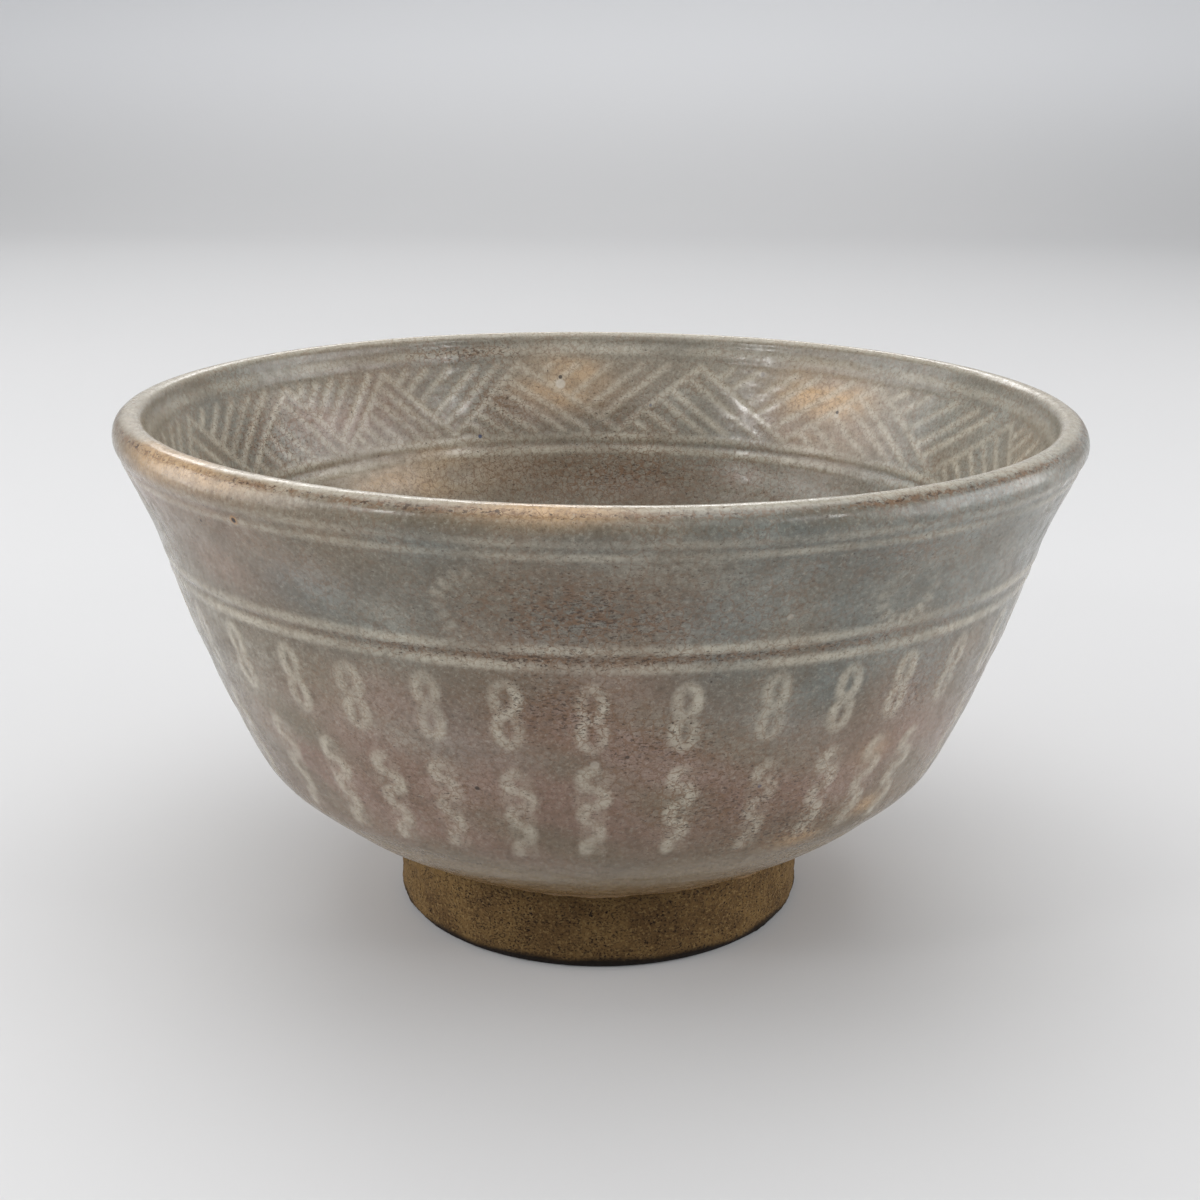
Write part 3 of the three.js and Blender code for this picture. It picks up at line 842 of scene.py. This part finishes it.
# Marks of their own: direction, height, outside, radius in millimetres, colour, strength
IRON_BROWN, COBALT, PALE, TAN = (48, 32, 22), (62, 72, 100), (206, 198, 184), (168, 128, 84)
SPOTS = (
    (-6.8, 63.4, False, 1.0, PALE, 0.7), (-6.8, 64.5, False, 0.42, IRON_BROWN, 0.9),
    (41.8, 61.1, False, 0.5, PALE, 0.6), (41.8, 61.6, False, 0.36, IRON_BROWN, 0.9),
    (-21.5, 55.6, False, 0.42, COBALT, 0.9), (8.5, 60.1, False, 0.36, COBALT, 0.6),
    (27, 66, False, 0.5, IRON_BROWN, 0.5), (-39.5, 66.6, True, 0.75, TAN, 0.7),
    (-39.5, 66.6, True, 0.42, IRON_BROWN, 1.0), (-46, 65.2, True, 0.3, IRON_BROWN, 0.8),
    (20, 58, True, 0.5, PALE, 0.3), (-9, 58.4, True, 0.4, IRON_BROWN, 0.8),
    (9.5, 69.5, True, 0.4, IRON_BROWN, 0.8), (3.3, 40.7, True, 0.36, IRON_BROWN, 0.8),
    (-15.5, 35.2, True, 0.4, IRON_BROWN, 0.9), (20.8, 35, True, 0.32, COBALT, 0.6),
    (-0.5, 39.6, True, 0.7, PALE, 0.35),
)

# Sizes of the glaze's features, in millimetres
CLOUD = 11
BLOTCH = 4
MOTTLING = 2.2
STREAK = 1.7
VEIL_PATCH = 1.3
CRACKLE = 1.3
CRACK_WIDTH = 0.1
SLIP_PATCH = 1.1
PEEL = 0.9
DASH = 0.6
GRAIN = 0.5
FLATTENED = (1, 1, 0.4)

# How the glaze's noises turn into shares: low, high, least, most
CLOUD_FADE = (0.38, 0.62)
BLOTCH_FADE = (0.35, 0.65, 0.8, 1)
VEIL_FADE = (0.35, 0.62, 0.25, 1)
MOTTLE_FADE = (0.45, 0.7, 0, 0.32)
STREAK_FADE = (0.45, 0.62, 0.1, 0.85)
SLIP_FADE = (0.25, 0.7, 0.95, 0.55)
DARK_GRAIN_FADE = (0.5, 0.66, 0, 0.5)
PALE_GRAIN_FADE = (0.48, 0.32, 0, 0.34)
CRACKLE_FADE = (0.35, 0.6, 0.1, 0.35)
DASH_FADE = (0, 0.05, 0, 0.8)
GLOSS_FADE = (0.3, 0.7, 0.16, 0.34)  # to the roughness

# Strengths of the tints
VEIL_SHARE = 0.75
HAZE_SHARE = 0.85
# How much painted light lightens the inside
INSIDE_PAINTED_LIGHT_SHARE = 0.15
# The crest's tint is partly a painted highlight
CREST_HIGHLIGHT_SHARE = 0.56
EDGE_SHARE = 0.9
DASH_LIMIT = 0.65
DASH_LIMIT_DROP = 0.14
CRACKLE_RISE_MARKED = 0.5
CRACKLE_RISE_INSIDE = 0.06

# Specks: size of a cell, radius, share of the cells, strength, colour
SPECKS = (
    (2.4, 0.07, 0.5, 0.8, IRON_BROWN),
    (0.9, 0.12, 0.4, 0.45, FLECK),
)


def bumped(tree, shader, strength, distance, height):
    """Gives a shader a fine bump, its distance in metres."""
    bump = node(tree, "ShaderNodeBump")
    feed(tree, bump, "Strength", strength)
    feed(tree, bump, "Distance", distance)
    feed(tree, bump, "Height", height)
    feed(tree, shader, "Normal", bump.outputs["Normal"])


def glaze_material():
    """Grey-green glaze over iron-bearing clay, with pink and ochre flashes, specks and crackle."""
    made, tree, shader = material("grey_glaze")
    here = place(tree)
    flat = place(tree, FLATTENED)
    clouds = noise(tree, here, CLOUD, 4, 0.6)
    mottle = noise(tree, here, MOTTLING, 5, 0.65)
    grain = noise(tree, here, GRAIN, 4, 0.75)
    shared = fade(tree, clouds, *CLOUD_FADE)
    uneven = fade(tree, noise(tree, here, BLOTCH, 5, 0.65), *BLOTCH_FADE)

    # The ground and its patches of colour
    body = shades(tree, shared, BROWN)
    for name, pair in (("grey", GREY), ("warm", PINK)):
        tint = shades(tree, shared, pair)
        body = mix(tree, maths(tree, "MULTIPLY", mask_of(tree, name), uneven), body, tint)
    patchy = fade(tree, noise(tree, here, VEIL_PATCH, 4, 0.7), *VEIL_FADE)
    pale = maths(tree, "MULTIPLY", mask_of(tree, "pale"), patchy)
    body = tinted(tree, body, pale, VEIL_SHARE, VEIL)
    body = tinted(tree, body, mask_of(tree, "ochre"), uneven, OCHRE)
    body = tinted_within(tree, body, mottle, MOTTLE_FADE, MOTTLE)
    haze = shades(tree, clouds, HAZE)
    body = mix(tree, maths(tree, "MULTIPLY", mask_of(tree, "haze"), HAZE_SHARE), body, haze)
    # Painted light: the inside of the bowl made paler, as if lit from above
    body = tinted(tree, body, mask_of(tree, "inside"), INSIDE_PAINTED_LIGHT_SHARE, INSIDE_PAINTED_LIGHT)

    # Stained streaks, the white slip, and the crest's pale glaze with a painted highlight
    marked = maths(tree, "MAXIMUM", mask_of(tree, "fleck"), mask_of(tree, "under_lip"))
    marked = maths(tree, "MULTIPLY", marked, uneven)
    streaked = noise(tree, flat, STREAK, 4, 0.7)
    stain = maths(tree, "MULTIPLY", fade(tree, streaked, *STREAK_FADE), marked)
    body = mix(tree, stain, body, colour(*STAIN))
    slip = fade(tree, noise(tree, here, SLIP_PATCH, 4, 0.7), *SLIP_FADE)
    body = tinted(tree, body, mask_of(tree, "slip"), slip, SLIP)
    # Painted highlight over the lip's own paler glaze, along the crest
    crest = maths(tree, "SUBTRACT", mask_of(tree, "crest"), mask_of(tree, "ochre"))
    body = tinted(tree, body, crest, CREST_HIGHLIGHT_SHARE, CREST_PALE_AND_HIGHLIGHT)

    # Grain, crackle, dashes and specks
    body = tinted_within(tree, body, grain, DARK_GRAIN_FADE, MOTTLE)
    body = tinted_within(tree, body, grain, PALE_GRAIN_FADE, VEIL)
    crackle = fade(tree, clouds, *CRACKLE_FADE)
    rise = maths(tree, "MULTIPLY", marked, CRACKLE_RISE_MARKED)
    crackle = maths(tree, "ADD", crackle, rise)
    rise = maths(tree, "MULTIPLY", mask_of(tree, "inside"), CRACKLE_RISE_INSIDE)
    crackle = maths(tree, "ADD", crackle, rise)
    crackle = maths(tree, "MULTIPLY", cracks(tree, here, CRACKLE, CRACK_WIDTH), crackle)
    body = mix(tree, crackle, body, colour(*STAIN))
    limit = maths(tree, "MULTIPLY", marked, DASH_LIMIT_DROP)
    limit = maths(tree, "SUBTRACT", DASH_LIMIT, limit)
    above = maths(tree, "SUBTRACT", noise(tree, flat, DASH, 3, 0.7), limit)
    dashes = fade(tree, above, *DASH_FADE)
    body = mix(tree, dashes, body, colour(*FLECK))
    for size, radius, share, strength, tint in SPECKS:
        body = tinted(tree, body, specks(tree, here, size, radius, share), strength, tint)
    body = tinted(tree, body, mask_of(tree, "edge"), EDGE_SHARE, EDGE)
    for direction, height, outside, radius, tint, strength in SPOTS:
        dot = spot(tree, on_wall(direction, height, outside), radius)
        body = tinted(tree, body, dot, strength, tint)

    feed(tree, shader, "Base Color", body)
    feed(tree, shader, "Roughness", fade(tree, mottle, *GLOSS_FADE))
    peel = noise(tree, here, PEEL, 3, 0.6)
    peel = maths(tree, "ADD", peel, maths(tree, "MULTIPLY", dashes, -0.6))
    bumped(tree, shader, 0.35, 0.00006, peel)
    return made


def clay_material():
    """Bare sandy clay, tan-brown, with dark open pores, a burnt lower edge and painted shade."""
    made, tree, shader = material("bare_clay")
    here = place(tree)
    clouds = noise(tree, here, 6, 4, 0.65)
    grain = noise(tree, here, 0.5, 4, 0.7)
    body = shades(tree, fade(tree, clouds, 0.35, 0.65), CLAY)
    body = tinted_within(tree, body, grain, (0.5, 0.66, 0, 0.7), SAND)
    pores = fade(tree, noise(tree, place(tree, (1, 1, 0.7)), 0.36, 3, 0.75), 0.47, 0.4)
    crowded = fade(tree, noise(tree, here, 2.4, 3, 0.6), 0.35, 0.6, 0.5, 1)
    pores = maths(tree, "MULTIPLY", pores, crowded)
    body = mix(tree, pores, body, colour(*PORE))
    # Burnt lower edge with a painted contact shadow, and painted shade in front
    body = mix(tree, mask_of(tree, "grime_and_shade"), body, colour(*PORE))
    feed(tree, shader, "Base Color", body)
    shader.inputs["Roughness"].default_value = 0.85
    shader.inputs["Specular IOR Level"].default_value = 0.25
    bumped(tree, shader, 0.8, 0.00016, maths(tree, "SUBTRACT", grain, pores))
    return made


glaze = glaze_material()
clay = clay_material()


def finish_piece(piece, surface, slot, *nodes):
    """Gives a piece its material and body and hides the CAD nodes it replaces; slot is not used."""
    piece.data.materials.append(surface)
    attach(piece, "root")
    if nodes:
        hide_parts(*nodes)


def named(prefix):
    """Names of the CAD nodes that start with a prefix."""
    return sorted(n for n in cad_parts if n.startswith(prefix))


# Zones of the glazed bowl, from the foot over the lip to the floor: name, where it ends, distance
# between its rows, steps round the bowl, the CAD nodes that it replaces
ZONES = (
    ("glaze_lower_wall", length_at(LOWER_WALL_TOP), ROW_STEP, ROUND_STEPS, ["bowl_body"]),
    ("glaze_rope_band", length_at(ROPE_BAND_TOP), ROW_STEP, ROUND_STEPS, named("rope_stamp")),
    ("glaze_upper_band", length_at(UPPER_BAND_TOP), FINE_ROW_STEP, ROUND_STEPS,
     ["belt_line_upper_inlay", "belt_line_lower_inlay"]),
    ("glaze_lip", length_at(INNER_LIP_END, False), LIP_ROW_STEP, ROUND_STEPS,
     ["rim_line_upper_inlay", "rim_line_lower_inlay", "mouth_line_inner_inlay"]),
    ("glaze_hatch_band", length_at(HATCH_BAND_END, False), FINE_ROW_STEP, ROUND_STEPS,
     ["belt_line_inner_upper_inlay", "belt_line_inner_lower_inlay", *named("hatch_inlay")]),
    ("glaze_pool", path_length[-1] - AXIS_HOLE, POOL_ROW_STEP, ROUND_STEPS // 2, []),
)
zone_start = 0
for name, zone_end, row_step, steps, replaced in ZONES:
    finish_piece(zone(name, zone_start, zone_end, row_step, steps), glaze, "glaze", *replaced)
    zone_start = zone_end


# The bare foot and underside
INNER_FOOT = FOOT_RADIUS - FOOT_RING_WIDTH
SAND_RELIEF = 0.12
UNDERSIDE_MARGIN = 0.1
UNDERSIDE_TOP = FOOT_HOLLOW_DEPTH + 2
UNDERSIDE_GRIME = 0.15


def softened_ring(points, times):
    """A closed outline with its corners rounded."""
    for _ in range(times):
        points = (np.roll(points, 1, axis=0) + 2 * points + np.roll(points, -1, axis=0)) / 4
    return points


def clay_rings(name, section, grime_and_shade, steps):
    """A piece of bare clay turned from the corners of a section, with a sandy surface."""
    even, points = walked(np.vstack([section, section[:1]]), CLAY_STEP)
    points = softened_ring(points, 2)
    angle = 2 * math.pi * np.arange(steps) / steps
    angle, along = np.meshgrid(angle, even)
    step = np.roll(points, -1, axis=0) - np.roll(points, 1, axis=0)
    step /= np.linalg.norm(step, axis=1)[:, None]
    out, up = step[:, 1][:, None], -step[:, 0][:, None]
    dice = np.random.default_rng(11)
    sand = dice.normal(0, 1, angle.shape)
    for axis in (0, 1):
        sand = (np.roll(sand, 1, axis) + 2 * sand + np.roll(sand, -1, axis)) / 4
    radius, height = (points[:, k][:, None] + 0 * angle for k in (0, 1))
    above_rest = smooth_step(0.05, 0.6, height)
    rough = 0.5 * sand - 0.35 + 0.5 * ripple(angle, along, 30, 2.5, 12, 24)
    relief = SAND_RELIEF * above_rest * rough
    radius, height = radius + relief * out, np.maximum(height + relief * up, 0)
    masks = {"grime_and_shade": grime_and_shade(angle, radius, height)}
    return ring_mesh(name, around_axis(angle, radius, height), masks, (), steps)


def foot_grime_and_shade(angle, radius, height):
    """Burnt lower edge and painted contact shadow, worn where it rests; painted shade in front."""
    # Painted contact shadow along with the burnt edge: darker towards the bottom
    low = smooth_step(2.0, 0.9, height + 0.25 * round_ripple(angle, 14, 15, 16))
    # Painted shade: the foot darker towards the front
    front = 0.22 * np.exp(-((turned_by(angle, 0) / math.radians(35)) ** 2))
    worn = 0.35 + 0.65 * smooth_step(FOOT_RADIUS - 1.8, FOOT_RADIUS - 0.9, radius)
    return np.clip(0.97 * low * worn + front, 0, 1)


def underside_grime(angle, *_):
    """The same faint grime all over."""
    return np.full_like(angle, UNDERSIDE_GRIME)


foot_section = np.array([
    (INNER_FOOT + FOOT_BEVEL, 0),
    (FOOT_RADIUS - FOOT_BEVEL, 0),
    (FOOT_RADIUS, FOOT_BEVEL),
    (FOOT_RADIUS, FOOT_HEIGHT),
    (INNER_FOOT, FOOT_HEIGHT),
    (INNER_FOOT, FOOT_BEVEL),
], float)
foot = clay_rings("bare_foot_ring", foot_section, foot_grime_and_shade, FOOT_STEPS)
finish_piece(foot, clay, "bare_clay", "foot_ring")

under_section = np.array([
    (AXIS_HOLE, FOOT_HOLLOW_DEPTH),
    (INNER_FOOT - UNDERSIDE_MARGIN, FOOT_HOLLOW_DEPTH),
    (INNER_FOOT - UNDERSIDE_MARGIN, UNDERSIDE_TOP),
    (AXIS_HOLE, UNDERSIDE_TOP),
], float)
underside = clay_rings("bare_underside", under_section, underside_grime, UNDERSIDE_STEPS)
finish_piece(underside, clay, "bare_clay")


# The glaze's lower edge, in millimetres, and its one drip
EDGE_SIDES = 16
EDGE_OVERLAP = 0.35
EDGE_INSET = 0.15
EDGE_HALF_WIDTH = 0.38
EDGE_HALF_HEIGHT = 0.5
EDGE_HIGHEST = 0.3
DRIP_DIRECTION = 47
DRIP_HALF_WIDTH = 8
DRIP_LENGTH = 1.1


def edge_rings():
    """The thick lower edge of the glaze: a low bead that wanders along the top of the foot."""
    angle = 2 * math.pi * np.arange(ROUND_STEPS) / ROUND_STEPS
    wander = 0.2 * round_ripple(angle, 16, 90, 14) + 0.08 * round_ripple(angle, 60, 91, 14)
    around = np.linspace(0, 2 * math.pi, EDGE_SIDES + 1)[:-1]
    turn, angle = np.meshgrid(around, angle, indexing="ij")
    drip = np.exp(-((turned_by(angle, DRIP_DIRECTION) / math.radians(DRIP_HALF_WIDTH)) ** 4))
    low = FOOT_HEIGHT - EDGE_OVERLAP + np.minimum(wander, EDGE_HIGHEST)[None, :]
    low = low - DRIP_LENGTH * drip
    radius = FOOT_RADIUS - EDGE_INSET + EDGE_HALF_WIDTH * np.cos(turn)
    height = low + (EDGE_HALF_HEIGHT + DRIP_LENGTH / 2 * drip) * (1 - np.sin(turn))
    masks = {"edge": np.ones_like(angle)}
    return ring_mesh("glaze_edge", around_axis(angle, radius, height), masks, (), ROUND_STEPS)


finish_piece(edge_rings(), glaze, "glaze_edge", "glaze_edge_bead")


# Floor and backdrop, in metres
SWEEP_FRONT = -6
SWEEP_REACH = 1.0
SWEEP_BEND = 0.5
SWEEP_TOP = 1.6
SWEEP_HALF_WIDTH = 2.5
PAPER = ((208, 207, 207), (204, 204, 204))
PAPER_GLOW = (214, 217, 223)
GLOW_BY_HEIGHT = (0, 140, 0.06, 0.3)  # from and to millimetres, least and most
GLOW_BEHIND_CAMERA = (-600, -1500, 0, 0.5)

# Camera, in metres and degrees
CAMERA_DISTANCE = 0.2401
CAMERA_HEIGHT = 0.1153
CAMERA_PITCH = 16.83
CAMERA_ROLL = 0.3
CAMERA_LENS = 53.2
SENSOR_WIDTH = 36
CLIP_RANGE = (0.01, 20)

# Lights: name, place and size in metres, power in watts
SOFTBOXES = (
    ("top_light", (0, 0.05, 0.9), (0.9, 0.9), 5.0),
    ("front_fill", (0, -0.85, 0.75), (1.0, 0.4), 1.3),
    ("left_wall", (-0.85, 0, 0.3), (0.8, 0.55), 4.0),
    ("right_wall", (0.85, 0, 0.24), (0.8, 0.45), 3.8),
    ("back_strip", (-0.2, 1.1, 0.7), (0.9, 0.2), 3.2),
    ("left_lamp", (-0.62, -0.5, 0.5), (0.12, 0.12), 0.9),
    ("right_lamp", (0.62, -0.5, 0.5), (0.12, 0.12), 0.5),
)
LIGHTS_AIM = (0, 0, 0.04)
WORLD_COLOUR = (0.95, 0.97, 1, 1)
WORLD_STRENGTH = 0.35
WORLD_RISE_SEEN = 0.4


def paper_material():
    """Pale paper, brighter to the camera and in reflections."""
    made, tree, shader = material("pale_paper")
    here = place(tree)
    feed(tree, shader, "Base Color", shades(tree, noise(tree, here, 300, 2), PAPER))
    shader.inputs["Roughness"].default_value = 0.9
    shader.inputs["Specular IOR Level"].default_value = 0.1
    path = node(tree, "ShaderNodeLightPath")
    seen = maths(tree, "MAXIMUM", path.outputs["Is Camera Ray"], path.outputs["Is Glossy Ray"])
    feed(tree, shader, "Emission Color", colour(*PAPER_GLOW))
    parts = node(tree, "ShaderNodeSeparateXYZ")
    feed(tree, parts, "Vector", here)
    glow = fade(tree, parts.outputs["Z"], *GLOW_BY_HEIGHT)
    behind = fade(tree, parts.outputs["Y"], *GLOW_BEHIND_CAMERA)
    glow = maths(tree, "ADD", glow, behind)
    feed(tree, shader, "Emission Strength", maths(tree, "MULTIPLY", seen, glow))
    return made


def sweep():
    """A floor that curves up into a backdrop."""
    turn = np.linspace(0, math.pi / 2, 24)
    curve = zip(SWEEP_REACH + SWEEP_BEND * np.sin(turn), SWEEP_BEND - SWEEP_BEND * np.cos(turn))
    profile = [(SWEEP_FRONT, 0), *curve, (SWEEP_REACH + SWEEP_BEND, SWEEP_TOP)]
    points = [(x, y, z) for y, z in profile for x in (-SWEEP_HALF_WIDTH, SWEEP_HALF_WIDTH)]
    faces = [(2 * i, 2 * i + 1, 2 * i + 3, 2 * i + 2) for i in range(len(profile) - 1)]
    data = bpy.data.meshes.new("sweep")
    data.from_pydata(points, [], faces)
    data.polygons.foreach_set("use_smooth", [True] * len(faces))
    floor = bpy.data.objects.new("sweep", data)
    bpy.context.scene.collection.objects.link(floor)
    data.materials.append(paper_material())


def softbox(name, position, size, power):
    """A soft rectangular light that points at the bowl."""
    data = bpy.data.lights.new(name, "AREA")
    data.shape = "RECTANGLE"
    data.size, data.size_y = size
    data.energy = power
    lamp = bpy.data.objects.new(name, data)
    lamp.location = position
    aim = Vector(LIGHTS_AIM) - lamp.location
    lamp.rotation_mode = "QUATERNION"
    lamp.rotation_quaternion = aim.to_track_quat("-Z", "Y")
    lamp.visible_camera = False
    bpy.context.scene.collection.objects.link(lamp)


def camera():
    """The camera, at the photograph's angle."""
    data = bpy.data.cameras.new("camera")
    data.lens = CAMERA_LENS
    data.sensor_width = SENSOR_WIDTH
    data.clip_start, data.clip_end = CLIP_RANGE
    made = bpy.data.objects.new("camera", data)
    made.location = (0, -CAMERA_DISTANCE, CAMERA_HEIGHT)
    made.rotation_euler = (math.radians(90 - CAMERA_PITCH), 0, 0)
    made.rotation_euler.rotate_axis("Z", math.radians(CAMERA_ROLL))
    bpy.context.scene.collection.objects.link(made)
    bpy.context.scene.camera = made


def studio_world():
    """A plain world, a little brighter where the camera sees it."""
    world = bpy.data.worlds.new("studio")
    bpy.context.scene.world = world
    world.use_nodes = True
    tree = world.node_tree
    background = tree.nodes["Background"]
    background.inputs["Color"].default_value = WORLD_COLOUR
    seen = node(tree, "ShaderNodeLightPath").outputs["Is Camera Ray"]
    strength = maths(tree, "MULTIPLY_ADD", seen, WORLD_RISE_SEEN, WORLD_STRENGTH)
    feed(tree, background, "Strength", strength)


sweep()
for row in SOFTBOXES:
    softbox(*row)
camera()
studio_world()
bpy.context.scene.view_settings.view_transform = "Standard"
